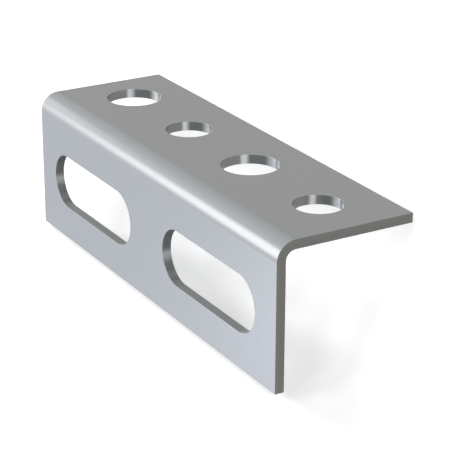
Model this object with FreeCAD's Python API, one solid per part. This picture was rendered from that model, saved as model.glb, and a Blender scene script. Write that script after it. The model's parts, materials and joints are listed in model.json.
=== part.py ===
# Slotted angle: a short length of pre-galvanised sheet steel, bent once along its length.
# One leg has a row of round bolt holes, large and small by turns.
# The other leg has a row of long slots, so that a bolt there can be shifted before it is tightened.
# Both rows sit on one gauge line each, measured from the heel, which is the sharp corner outside the bend.
#
# It is modelled with the length along +X, the slotted leg upright and the holed leg on top of it,
# reaching towards +Y. It is then laid down the way it comes to rest on a level floor: like a tent,
# with the bend on top and the two free edges on the floor.
# The origin is at floor level, under the middle of the part. Sizes are in millimetres.
import FreeCAD
import Part
import math
import os

V = FreeCAD.Vector

# Sheet and bend
sheet_thickness = 2.0
inner_bend_radius = 2.0

# Legs, measured from the heel to the free edge
holed_leg = 30.0
slotted_leg = 30.5
length = 100.0

# Round holes, the first one large
hole_pitch = 25.0
first_hole = 12.5
hole_gauge = 17.0
large_hole_diameter = 12.0
small_hole_diameter = 10.0

# Slots
slot_pitch = 50.0
first_slot = 24.5
slot_gauge = 17.0
slot_length = 36.0
slot_width = 12.0

# Edges: the punch draws the rims in a little, the strip edges are rolled, and the cut ends are deburred
rim_rounding = 0.08
strip_edge_rounding = 0.1
end_rounding = 0.05

# A cutter reaches this far past both faces of the sheet
cutter_overrun = 1.0

# Two planes or directions closer than this are the same
same = 1e-6


def rounded_outline(corners):
    """Closed wire in the YZ plane through (y, z, radius) corners, with each corner rounded to its radius."""
    points = [V(0, y, z) for y, z, _ in corners]
    tangents = []
    for i, (_, _, radius) in enumerate(corners):
        corner = points[i]
        back = (points[i - 1] - corner).normalize()
        ahead = (points[(i + 1) % len(points)] - corner).normalize()
        half_angle = back.getAngle(ahead) / 2
        middle = (back + ahead).normalize()
        setback = radius / math.tan(half_angle)
        to_arc = radius / math.sin(half_angle) - radius
        tangents.append((corner + back * setback, corner + middle * to_arc, corner + ahead * setback))
    edges = []
    for i, (arc_start, arc_middle, arc_end) in enumerate(tangents):
        next_start = tangents[(i + 1) % len(tangents)][0]
        edges.append(Part.Arc(arc_start, arc_middle, arc_end).toShape())
        edges.append(Part.LineSegment(arc_end, next_start).toShape())
    return Part.Wire(edges)


def bent_sheet():
    """The plain angle before punching: its section, carried along the length."""
    outer_bend_radius = inner_bend_radius + sheet_thickness
    section = rounded_outline([
        (0, 0, strip_edge_rounding),
        (0, slotted_leg, outer_bend_radius),
        (holed_leg, slotted_leg, strip_edge_rounding),
        (holed_leg, slotted_leg - sheet_thickness, strip_edge_rounding),
        (sheet_thickness, slotted_leg - sheet_thickness, inner_bend_radius),
        (sheet_thickness, 0, strip_edge_rounding),
    ])
    return Part.Face(section).extrude(V(length, 0, 0))


def row_places(first, pitch, feature_length):
    """Places along X of a punched row: as many as leave whole features in the length."""
    room = length - first - feature_length / 2
    return [first + i * pitch for i in range(int(room // pitch) + 1)]


def hole_punches():
    """Upright cylinders through the holed leg, large and small by turns."""
    bottom = slotted_leg - sheet_thickness - cutter_overrun
    height = sheet_thickness + 2 * cutter_overrun
    punches = []
    for i, x in enumerate(row_places(first_hole, hole_pitch, large_hole_diameter)):
        diameter = large_hole_diameter if i % 2 == 0 else small_hole_diameter
        punches.append(Part.makeCylinder(diameter / 2, height, V(x, hole_gauge, bottom), V(0, 0, 1)))
    return punches


def slot_punches():
    """Round-ended bars through the slotted leg, with their length along X."""
    radius = slot_width / 2
    straight = slot_length / 2 - radius
    z = slotted_leg - slot_gauge
    y = -cutter_overrun
    punches = []
    for x in row_places(first_slot, slot_pitch, slot_length):
        left, right = x - straight, x + straight
        outline = Part.Wire([
            Part.LineSegment(V(left, y, z - radius), V(right, y, z - radius)).toShape(),
            Part.Arc(V(right, y, z - radius), V(right + radius, y, z), V(right, y, z + radius)).toShape(),
            Part.LineSegment(V(right, y, z + radius), V(left, y, z + radius)).toShape(),
            Part.Arc(V(left, y, z + radius), V(left - radius, y, z), V(left, y, z - radius)).toShape(),
        ])
        punches.append(Part.Face(outline).extrude(V(0, sheet_thickness + 2 * cutter_overrun, 0)))
    return punches


def flat_face(solid, normal, point):
    """The flat face of the solid that has this outward normal and whose plane holds the point."""
    for face in solid.Faces:
        if not isinstance(face.Surface, Part.Plane):
            continue
        if (face.normalAt(0, 0) - normal).Length < same and abs((face.CenterOfMass - point) * normal) < same:
            return face
    raise ValueError(f"no flat face towards {normal} at {point}")


def rims(face):
    """The edges of the openings in a face, without the edges of its outside."""
    return [edge for wire in face.Wires if not wire.isSame(face.OuterWire) for edge in wire.Edges]


def slotted_angle():
    """The punched and bent angle, upright, with the heel's far end at x 0."""
    angle = bent_sheet().cut(hole_punches() + slot_punches())
    outside_of_legs = [
        flat_face(angle, V(0, 0, 1), V(0, 0, slotted_leg)),
        flat_face(angle, V(0, -1, 0), V(0, 0, 0)),
    ]
    angle = angle.makeFillet(rim_rounding, [edge for face in outside_of_legs for edge in rims(face)])
    ends = [
        flat_face(angle, V(-1, 0, 0), V(0, 0, 0)),
        flat_face(angle, V(1, 0, 0), V(length, 0, 0)),
    ]
    return angle.makeFillet(end_rounding, [edge for face in ends for edge in face.OuterWire.Edges])


def laid_down(solid):
    """Tilts the part until both inner corners of its free edges are level, and centres it on the floor."""
    tilt = math.degrees(math.atan2(slotted_leg - sheet_thickness, holed_leg - sheet_thickness))
    solid.rotate(V(0, 0, 0), V(1, 0, 0), -tilt)
    box = solid.optimalBoundingBox(False)
    solid.translate(V(-box.Center.x, -box.Center.y, -box.ZMin))
    return solid


os.makedirs("parts", exist_ok=True)
part = laid_down(slotted_angle())
part.exportStep("parts/slotted_angle.step")
print("valid", part.isValid(), "solids", len(part.Solids), "faces", len(part.Faces))
print("volume mm3", round(part.Volume, 2), "box", part.optimalBoundingBox(False))
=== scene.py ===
"""Looks of a slotted angle: bright zinc on bent steel sheet, with bare grey sheared edges.

The angle rests like a tent on the free edges of its legs. Its upright stance is the one in the photograph:
the slotted leg stands on its free edge and the holed leg lies level on top. The camera is given in the
upright stance and turned with the part, so it sees the part as the photograph does.
"""

import json
import math

import bpy
import numpy as np
from mathutils import Matrix, Vector


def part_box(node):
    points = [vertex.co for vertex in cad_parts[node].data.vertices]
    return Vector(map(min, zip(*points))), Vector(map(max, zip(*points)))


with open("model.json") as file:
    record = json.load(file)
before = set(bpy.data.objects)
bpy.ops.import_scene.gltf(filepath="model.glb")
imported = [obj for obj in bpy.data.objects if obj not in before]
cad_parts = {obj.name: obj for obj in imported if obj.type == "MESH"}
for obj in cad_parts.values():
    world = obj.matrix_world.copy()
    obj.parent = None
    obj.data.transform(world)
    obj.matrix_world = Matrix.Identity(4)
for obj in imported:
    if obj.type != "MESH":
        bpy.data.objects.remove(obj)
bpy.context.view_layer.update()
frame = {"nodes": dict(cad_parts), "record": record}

MM = 0.001


# The part's own planes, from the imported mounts

def mount(name):
    """Place and outward direction of a mount, as vectors."""
    found = next(m for m in frame["record"]["mounts"] if m["name"] == name)
    return Vector(found["pos_m"]), Vector(found["axis"])


holed_out, up = mount("holed_leg_outside")
holed_in, _ = mount("holed_leg_inside")
slotted_out, slotted_normal = mount("slotted_leg_outside")

along = Vector((1, 0, 0))
across = -slotted_normal
sheet_thickness = (holed_out - holed_in).dot(up)
inner_bend_radius = 2 * MM
outer_bend_radius = inner_bend_radius + sheet_thickness

# The heel's middle lies on the outer planes of both legs, at mid length
heel = holed_out + slotted_normal * (slotted_out - holed_out).dot(slotted_normal)
resting_tilt = math.atan2(up.y, up.z)


# Node helpers

def opaque(tint, level=1.0):
    """The tint at a level, as a colour with alpha 1."""
    return (*(level * part for part in tint), 1)


class Nodes:
    """Short calls for adding and joining shader nodes."""

    def __init__(self, tree):
        """Keeps the tree and empties it."""
        self.tree = tree
        tree.nodes.clear()

    def fill(self, socket, value):
        """Joins an output to the socket, or writes any other value into it."""
        if isinstance(value, bpy.types.NodeSocket):
            self.tree.links.new(value, socket)
        else:
            socket.default_value = value

    def add(self, kind, values=(), **settings):
        """A new node, with its settings, and its input sockets filled by name or number."""
        node = self.tree.nodes.new(kind)
        for name, value in settings.items():
            setattr(node, name, value)
        for socket, value in dict(values).items():
            self.fill(node.inputs[socket], value)
        return node

    def math(self, operation, a, b=0.0, c=0.0):
        """The result of a Math node."""
        return self.add("ShaderNodeMath", {0: a, 1: b, 2: c}, operation=operation).outputs[0]

    def vector(self, operation, a, b=(0, 0, 0), c=(0, 0, 0)):
        """The result of a Vector Math node."""
        node = self.add("ShaderNodeVectorMath", {0: a, 1: b, 2: c}, operation=operation)
        return node.outputs["Value" if operation in ("LENGTH", "DOT_PRODUCT") else "Vector"]

    def product(self, first, *others):
        """All the numbers multiplied together."""
        for other in others:
            first = self.math("MULTIPLY", first, other)
        return first

    def remainder(self, share):
        """What the share leaves of 1."""
        return self.math("SUBTRACT", 1.0, share)

    def place(self):
        """Where the surface is, in Object coordinates."""
        return self.add("ShaderNodeTexCoord").outputs["Object"]

    def axis(self, vector, name):
        """The X, Y or Z of a vector."""
        return self.add("ShaderNodeSeparateXYZ", {0: vector}).outputs[name]

    def length(self, x, y):
        """The length of the flat vector with these parts."""
        flat = self.add("ShaderNodeCombineXYZ", {0: x, 1: y})
        return self.vector("LENGTH", flat.outputs[0])

    def times(self, vector, factor):
        """The vector or colour made longer or brighter by the factor."""
        node = self.add("ShaderNodeVectorMath", {0: vector, "Scale": factor}, operation="SCALE")
        return node.outputs["Vector"]

    def step(self, value, start, end, low=0.0, high=1.0):
        """Goes smoothly from low, where value is at start, to high, where it is at end."""
        limits = {"Value": value, "From Min": start, "From Max": end, "To Min": low, "To Max": high}
        node = self.add("ShaderNodeMapRange", limits, interpolation_type="SMOOTHSTEP")
        return node.outputs["Result"]

    def bump_at(self, value, middle, half_width):
        """1 where value is at the middle, falling smoothly to 0 at half_width to either side."""
        distance = self.math("ABSOLUTE", self.math("SUBTRACT", value, middle))
        flat_top = 0.15 * half_width
        return self.step(distance, flat_top, half_width, 1, 0)

    def mix(self, factor, a, b):
        """Colour a where factor is 0, colour b where it is 1."""
        node = self.add("ShaderNodeMix", data_type="RGBA")
        for socket, value in zip((0, 6, 7), (factor, a, b)):
            self.fill(node.inputs[socket], value)
        return node.outputs[2]

    def noise(self, place, scale, detail, roughness):
        """Soft noise from 0 to 1, with scale features in a metre."""
        values = {"Vector": place, "Scale": scale, "Detail": detail, "Roughness": roughness}
        return self.add("ShaderNodeTexNoise", values).outputs["Fac"]

    def seen(self):
        """1 for what the camera sees, straight or in metal or glass."""
        path = self.add("ShaderNodeLightPath").outputs
        direct = self.math("MAXIMUM", path["Is Camera Ray"], path["Is Transmission Ray"])
        return self.math("MAXIMUM", direct, path["Is Glossy Ray"])


# Zinc-plated steel sheet

zinc = (0.598, 0.620, 0.642)
bare_edge = (0.310, 0.315, 0.312)
# Near-white colour towards which the painted highlights on the walls of holes and slots lighten them
painted_highlight_colour = (0.96, 0.985, 1.0)

zinc_roughness = 0.20
burnished_roughness = 0.33
torn_roughness = 0.39
# Painted highlights on the walls are made this much smoother
highlight_smoothing = 0.10

# The zinc skin thins out between these depths below either face
skin_depth = 0.015 * MM
bare_depth = 0.05 * MM

# Noises: features in a metre, detail and roughness. The brush lines are stretched five times across the part
brush_noise = (900, 2, 0.5)
brush_stretch = (1, 0.2, 0.2)
grain_noise = (1500, 2, 0.6)
tear_noise = (5200, 3, 0.7)

# How much the brush lines change the skin's colour, and the grain its roughness
brush_contrast = 0.05
grain_contrast = 0.03

# Depths in the sheet where torn metal starts and is complete, and the shades of burnished and torn metal
tear_start = 0.30 * sheet_thickness
tear_full = 0.45 * sheet_thickness
burnished_shade = 1.02
tear_darkening = 0.08

# Relief: the height of a bump of 1 and how strongly it shows, and the bumps of brush lines and torn metal
relief_height = 0.003 * MM
relief_strength = 0.1
brush_relief = 0.35
tear_relief = 1.5

# Punched rows: the place of one opening, from the mounts, then the pitch. gauge is the rows' distance
# from the heel, and slot_straight is half the straight length of a slot
hole_place = mount("large_hole_3")[0].x
hole_pitch = 25 * MM
slot_place = mount("slot_2")[0].x
slot_pitch = 50 * MM
slot_straight = 12 * MM
gauge = 17 * MM

# Painted highlights and painted shade on the walls fade out between these distances from the middle line of
# a hole or slot
painted_light_full = 6.5 * MM
painted_light_gone = 7.5 * MM

# Painted highlights in a hole's wall: angle around the hole from +X towards the free edge, half width,
# strength
hole_highlights = [(160, 12, 1.0), (100, 21, 0.9), (75, 13, 1.0)]

# Painted highlights in a slot's round ends: angle above the slot's middle line, half width, strength
slot_highlights = [(-14, 15, 0.26), (-54, 13, 0.12)]

# Painted shade on the upper part of a slot's round ends: angles where it starts and is full, and what it
# takes away
slot_shades = [(-12, 6, 0.47), (15, 50, 0.27)]

# A slot's straight walls begin between these angles, and carry a weak painted highlight all over
straight_start = math.radians(62)
straight_full = math.radians(74)
straight_wall_highlight = 0.18


def zinc_plated_steel():
    """Zinc skin on both faces of the sheet and bare metal on its sheared edges, told apart by depth."""
    material = bpy.data.materials.new("zinc_plated_steel")
    material.use_nodes = True
    n = Nodes(material.node_tree)

    # Upright place: x along the part, y from the slotted leg's face, z up from the holed leg's face
    place = n.place()
    turned_heel = Matrix.Rotation(resting_tilt, 3, "X") @ heel
    turn = {"Vector": place, "Location": -turned_heel, "Rotation": (resting_tilt, 0, 0)}
    upright = n.add("ShaderNodeMapping", turn).outputs["Vector"]

    # Depth below the outer skin is the bend radius less the distance from the bend's centre line,
    # where a leg's flat counts as level with that line
    bend_middle = (0, outer_bend_radius, outer_bend_radius)
    to_line = n.vector("MULTIPLY_ADD", upright, (0, -1, 1), bend_middle)
    depth = n.math("SUBTRACT", outer_bend_radius, n.vector("LENGTH", n.vector("MAXIMUM", to_line)))
    from_inside = n.math("SUBTRACT", sheet_thickness, depth)
    sheared = n.product(n.step(depth, skin_depth, bare_depth), n.step(from_inside, skin_depth, bare_depth))

    # Faint brush lines, which run across the part and over its bend, and a fine zinc grain
    lines = n.noise(n.vector("MULTIPLY", upright, brush_stretch), *brush_noise)
    grain = n.noise(place, *grain_noise)
    skin_shade = n.math("MULTIPLY_ADD", lines, brush_contrast, 1 - brush_contrast / 2)
    skin_colour = n.times(zinc, skin_shade)
    smoothest = zinc_roughness - grain_contrast / 2
    skin_roughness = n.math("MULTIPLY_ADD", grain, grain_contrast, smoothest)

    def from_middle(position, middle, pitch):
        """Signed distance along X from the nearest middle in a row with this pitch."""
        return n.math("WRAP", n.math("SUBTRACT", position, middle), pitch / 2, -pitch / 2)

    def strongest(angle, highlights):
        """Strength of the strongest painted highlight at an angle around an opening."""
        total = 0.0
        for middle, half_width, strength in highlights:
            highlight = n.bump_at(angle, math.radians(middle), math.radians(half_width))
            total = n.math("MAXIMUM", total, n.product(highlight, strength))
        return total

    # Painted highlights down the walls of the round holes, at the same angles around every hole
    x, y, z = (n.axis(upright, name) for name in "XYZ")
    hole_x = from_middle(x, hole_place, hole_pitch)
    hole_y = n.math("SUBTRACT", y, gauge)
    hole_angle = n.math("ARCTAN2", hole_y, hole_x)
    near_hole = n.step(n.length(hole_x, hole_y), painted_light_full, painted_light_gone, 1, 0)
    hole_highlight = n.product(strongest(hole_angle, hole_highlights), near_hole)

    # The slots have two painted highlights in each round end, a painted shade on the upper part there, and
    # straight walls made paler by a weak painted highlight
    slot_x = n.math("ABSOLUTE", from_middle(x, slot_place, slot_pitch))
    end_x = n.math("MAXIMUM", n.math("SUBTRACT", slot_x, slot_straight), 0.0)
    slot_z = n.math("ADD", z, gauge)
    slot_angle = n.math("ARCTAN2", slot_z, end_x)
    near_slot = n.step(n.length(end_x, slot_z), painted_light_full, painted_light_gone, 1, 0)
    straight = n.step(n.math("ABSOLUTE", slot_angle), straight_start, straight_full)
    slot_highlight_strength = n.math("MAXIMUM", strongest(slot_angle, slot_highlights), n.product(straight, straight_wall_highlight))
    slot_highlight = n.product(slot_highlight_strength, near_slot)
    painted_highlight = n.math("MAXIMUM", hole_highlight, slot_highlight)
    upper_shade = 0.0
    for start, full, loss in slot_shades:
        shade = n.step(slot_angle, math.radians(start), math.radians(full), 0, loss)
        upper_shade = n.math("ADD", upper_shade, shade)
    upper_shade = n.product(upper_shade, near_slot, n.remainder(straight))

    # The punch burnishes the outer third of an edge and tears the rest
    torn = n.step(depth, tear_start, tear_full)
    tear = n.noise(upright, *tear_noise)
    edge_shade = n.math("MULTIPLY_ADD", n.product(torn, tear), -tear_darkening, burnished_shade)
    # A painted shade darkens the upper part of the slots' round ends
    edge_shade = n.product(edge_shade, n.remainder(upper_shade))
    # Painted highlights lighten the bare walls towards a near-white colour
    edge_colour = n.mix(painted_highlight, n.times(bare_edge, edge_shade), opaque(painted_highlight_colour))
    edge_rough = n.step(depth, tear_start, tear_full, burnished_roughness, torn_roughness)
    # The painted highlights are also smoother
    edge_rough = n.math("MULTIPLY_ADD", painted_highlight, -highlight_smoothing, edge_rough)

    colour = n.mix(sheared, skin_colour, edge_colour)
    roughnesses = {0: sheared, 2: skin_roughness, 3: edge_rough}
    rough = n.add("ShaderNodeMix", roughnesses, data_type="FLOAT").outputs[0]
    relief = n.math("ADD", n.product(lines, brush_relief), n.product(sheared, tear, tear_relief))
    bump_values = {"Height": relief, "Strength": relief_strength, "Distance": relief_height}
    normal = n.add("ShaderNodeBump", bump_values).outputs["Normal"]
    metal = {"Base Color": colour, "Metallic": 1.0, "Roughness": rough, "Normal": normal}
    shader = n.add("ShaderNodeBsdfPrincipled", metal)
    n.add("ShaderNodeOutputMaterial", {"Surface": shader.outputs[0]})
    return material


# Stage: white floor and surroundings, lamps for the floor, and a grey tent and card that show in the metal

white = (1, 1, 1)
cool_grey = (0.970, 0.983, 1.047)
warm_grey = (1.022, 1.013, 0.965)
warm_white = (1.018, 1.004, 0.978)

floor_reach = 3.0
floor_glow = 0.484
floor_colour = 0.80
sky_light = 0.21
tent_radius = 2.9
card_height = 0.1 * MM

# The tent's cloth: its own level, what its pale side and its top add to it, and where the pale side is.
# pale_side_edge is the cosine of the angle from there at which the pale side ends
cloth_level = 0.502
pale_side_gain = 0.225
overhead_gain = 0.225
pale_side_azimuth = 195
pale_side_edge = 0.58

# Levels between which the tent turns warm. Its cool tint is complete within the angle from the slotted leg's
# side whose cosine is cool_side_full, and ends between the sines of two elevations
warm_start = 1.2
warm_full = 1.6
cool_side_full = 0.5
cool_full = 0.05
cool_gone = 0.35

# Round softboxes in the tent: azimuth, elevation, radius and softness of the rim in degrees, then level
softboxes = [
    (177.6, 18.0, 11.6, 1.0, 0.63),
    (213.5, 40.6, 19.6, 6.1, 0.84),
    (225.6, 6.1, 5.5, 4.0, 0.67),
    (2.0, 50.0, 12.0, 10.0, 0.60),
]

# Levels of the card's places, with the widths over which they fade into the rest of the card.
# The painted shadow along the slotted foot, a dark line, has its middle foot_distance outside the part
card_level = 0.45
near_end_level = 0.52
near_end_fade = 5 * MM
slotted_side_level = 0.76
slotted_side_azimuth = 255
slotted_side_fade = 25 * MM
under_level = 0.70
under_fade = 8 * MM
foot_shadow_level = 0.20
foot_distance = 2 * MM
foot_half_width = 4 * MM
foot_fade = 3 * MM

# Floor lamps: azimuth and elevation in degrees, size in metres, share of white that they give the floor
lamp_distance = 3.0
floor_lamps = {
    "low_far_end_lamp": (184.9, 6.5, 0.28, 0.229),
    "near_end_lamp": (10.8, 25.0, 0.50, 0.122),
    "slotted_side_lamp": (234.8, 23.2, 0.28, 0.032),
    "holed_side_lamp": (101.4, 33.8, 0.91, 0.049),
    "far_corner_lamp": (132.7, 26.3, 0.66, 0.102),
    "high_far_corner_lamp": (136.6, 52.2, 0.40, 0.113),
}


def direction(azimuth, elevation):
    """Unit vector at an azimuth from +X towards +Y and an elevation above the floor, in degrees."""
    a = math.radians(azimuth)
    e = math.radians(elevation)
    return Vector((math.cos(e) * math.cos(a), math.cos(e) * math.sin(a), math.sin(e)))


def prop(name, points, faces, surface):
    """A stage object with a material of its own, whose shader is made by surface from its node helper."""
    mesh = bpy.data.meshes.new(name)
    mesh.from_pydata(points, [], faces)
    thing = bpy.data.objects.new(name, mesh)
    bpy.context.scene.collection.objects.link(thing)
    material = bpy.data.materials.new(name)
    material.use_nodes = True
    n = Nodes(material.node_tree)
    n.add("ShaderNodeOutputMaterial", {"Surface": surface(n)})
    mesh.materials.append(material)
    return thing


def square(half, z):
    """The corners of a level square, at plus or minus half in x and y, and its one face."""
    corners = [(-half, -half, z), (half, -half, z), (half, half, z), (-half, half, z)]
    return corners, [(0, 1, 2, 3)]


def white_floor():
    """White floor that also glows where it is seen, so that the part's shadow on it stays light."""
    def surface(n):
        """Diffuse white with the glow added."""
        lit = n.add("ShaderNodeBsdfDiffuse", {"Color": opaque(white, floor_colour)})
        strength = n.product(n.seen(), floor_glow)
        glow = n.add("ShaderNodeEmission", {"Color": opaque(white), "Strength": strength})
        return n.add("ShaderNodeAddShader", {0: lit.outputs[0], 1: glow.outputs[0]}).outputs[0]
    prop("white_floor", *square(floor_reach, 0.0), surface)


def white_surroundings():
    """The world: white where it is seen, and dim as a light."""
    world = bpy.data.worlds.new("white_surroundings")
    bpy.context.scene.world = world
    world.use_nodes = True
    n = Nodes(world.node_tree)
    strength = n.math("MULTIPLY_ADD", n.seen(), 1 - sky_light, sky_light)
    light = n.add("ShaderNodeBackground", {"Color": opaque(white), "Strength": strength})
    n.add("ShaderNodeOutputWorld", {"Surface": light.outputs[0]})


def only_in_metal(thing):
    """Hides a stage object from all but mirrored rays, and stops it from casting a shadow."""
    thing.visible_camera = False
    thing.visible_diffuse = False
    thing.visible_transmission = False
    thing.visible_shadow = False


def dome(radius, rings, sectors):
    """Points at radius * (cos e cos a, cos e sin a, sin e), for a from 0 to 360 and e from 0 to 90."""
    elevations = np.linspace(0, math.pi / 2, rings)
    azimuths = np.arange(sectors) * 2 * math.pi / sectors
    e, a = np.meshgrid(elevations, azimuths, indexing="ij")
    points = radius * np.stack([np.cos(e) * np.cos(a), np.cos(e) * np.sin(a), np.sin(e)], axis=-1)

    # Each face joins a point, the one beside it and the two above them, and the last sector joins the first
    number = np.arange(rings * sectors).reshape(rings, sectors)
    beside = np.roll(number, -1, axis=1)
    faces = np.stack([number[:-1], beside[:-1], beside[1:], number[1:]], axis=-1)
    return points.reshape(-1, 3).tolist(), faces.reshape(-1, 4).tolist()


def grey_tent():
    """A tent of grey cloth over the part, paler on one side and overhead, with four glowing softboxes."""
    def surface(n):
        """The level and tint of the cloth in each direction from the part."""
        towards = n.vector("NORMALIZE", n.place())
        height = n.axis(towards, "Z")
        side = n.vector("DOT_PRODUCT", towards, direction(pale_side_azimuth, 0))
        pale_side = n.step(side, pale_side_edge, 1.0)
        level = n.math("MULTIPLY_ADD", pale_side, pale_side_gain, cloth_level)
        level = n.math("ADD", level, n.product(height, overhead_gain))
        for azimuth, elevation, radius, soft, strength in softboxes:
            cosine = n.vector("DOT_PRODUCT", towards, direction(azimuth, elevation))
            outside = math.radians(radius + soft)
            inside = math.radians(radius - soft)
            glow = n.step(n.math("ARCCOSINE", cosine), outside, inside, 0, strength)
            level = n.math("ADD", level, glow)

        # The cloth is cool low down on the slotted leg's side, and the brightest places are warm
        slotted_side = n.step(n.vector("DOT_PRODUCT", towards, (0, -1, 0)), 0.0, cool_side_full)
        cool = n.product(slotted_side, n.step(height, cool_full, cool_gone, 1, 0))
        tint = n.mix(cool, opaque(white), opaque(cool_grey))
        tint = n.mix(n.step(level, warm_start, warm_full), tint, opaque(warm_white))
        return n.add("ShaderNodeEmission", {"Color": tint, "Strength": level}).outputs[0]
    only_in_metal(prop("grey_tent", *dome(tent_radius, rings=12, sectors=48), surface))


def grey_card():
    """A grey card on the floor, paler under the part and before the slotted leg, with a painted shadow as a
    dark line along its foot.
    """
    low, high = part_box("slotted_angle")

    def surface(n):
        """The level and tint of each place on the card."""
        place = n.place()
        x = n.axis(place, "X")
        y = n.axis(place, "Y")
        past_x = n.math("SUBTRACT", n.math("ABSOLUTE", x), high.x)
        past_y = n.math("SUBTRACT", n.math("ABSOLUTE", y), high.y)

        level = n.step(x, high.x - near_end_fade, high.x, card_level, near_end_level)
        slotted_side = n.vector("DOT_PRODUCT", place, direction(slotted_side_azimuth, 0))
        pale = n.step(slotted_side, 0.0, slotted_side_fade)
        colour = n.mix(pale, n.times(warm_grey, level), opaque(cool_grey, slotted_side_level))
        under = n.step(n.math("MAXIMUM", past_x, past_y), -under_fade, 0, 1, 0)
        colour = n.mix(under, colour, opaque(white, under_level))
        # A painted shadow: a dark line on the card along the slotted foot, seen in the metal
        foot_shadow = n.bump_at(y, low.y - foot_distance, foot_half_width)
        foot_shadow = n.product(foot_shadow, n.step(past_x, -foot_fade, 0, 1, 0))
        colour = n.mix(foot_shadow, colour, opaque(white, foot_shadow_level))
        return n.add("ShaderNodeEmission", {"Color": colour, "Strength": 1.0}).outputs[0]
    only_in_metal(prop("grey_card", *square(tent_radius, card_height), surface))


def floor_lamp(name, azimuth, elevation, size, share):
    """A square lamp, aimed at the part, that mirrored rays don't see.

    Its share is floor_colour * energy * sin(elevation) / (pi * lamp_distance) ** 2.
    """
    data = bpy.data.lights.new(name, "AREA")
    data.size = size
    slope = math.sin(math.radians(elevation))
    data.energy = share * (math.pi * lamp_distance) ** 2 / (floor_colour * slope)
    lamp = bpy.data.objects.new(name, data)
    bpy.context.scene.collection.objects.link(lamp)
    towards = direction(azimuth, elevation)
    lamp.location = towards * lamp_distance
    lamp.rotation_euler = towards.to_track_quat("Z", "Y").to_euler()
    lamp.visible_camera = False
    lamp.visible_glossy = False


white_surroundings()
white_floor()
grey_tent()
grey_card()
for lamp_name, lamp_setting in floor_lamps.items():
    floor_lamp(lamp_name, *lamp_setting)

frame["nodes"]["slotted_angle"].data.materials[0] = zinc_plated_steel()


# Camera, in the upright stance: azimuth 0 looks across the part and 90 looks back along it

view_azimuth = math.radians(59.551)
view_elevation = math.radians(22.137)
view_roll = math.radians(0.187)
view_distance = 375.673 * MM
focal_length = 143.370
aim_from_heel = Vector((2.252, 17.429, -16.997)) * MM


def photograph_camera():
    """The camera stands off from its aim point, and then turns with the part."""
    data = bpy.data.cameras.new("camera")
    data.lens = focal_length
    data.sensor_width = 36
    data.clip_start = 0.01
    camera = bpy.data.objects.new("camera", data)
    bpy.context.scene.collection.objects.link(camera)
    flat_look = Vector((-math.sin(view_azimuth), math.cos(view_azimuth), 0))
    look = flat_look * math.cos(view_elevation) - Vector((0, 0, math.sin(view_elevation)))
    turn = look.to_track_quat("-Z", "Y").to_matrix() @ Matrix.Rotation(view_roll, 3, "Z")
    stance = Matrix((along, across, up)).transposed()
    place = heel + stance @ (aim_from_heel - look * view_distance)
    camera.matrix_world = Matrix.Translation(place) @ (stance @ turn).to_4x4()
    bpy.context.scene.camera = camera


photograph_camera()
bpy.context.scene.view_settings.view_transform = "Standard"
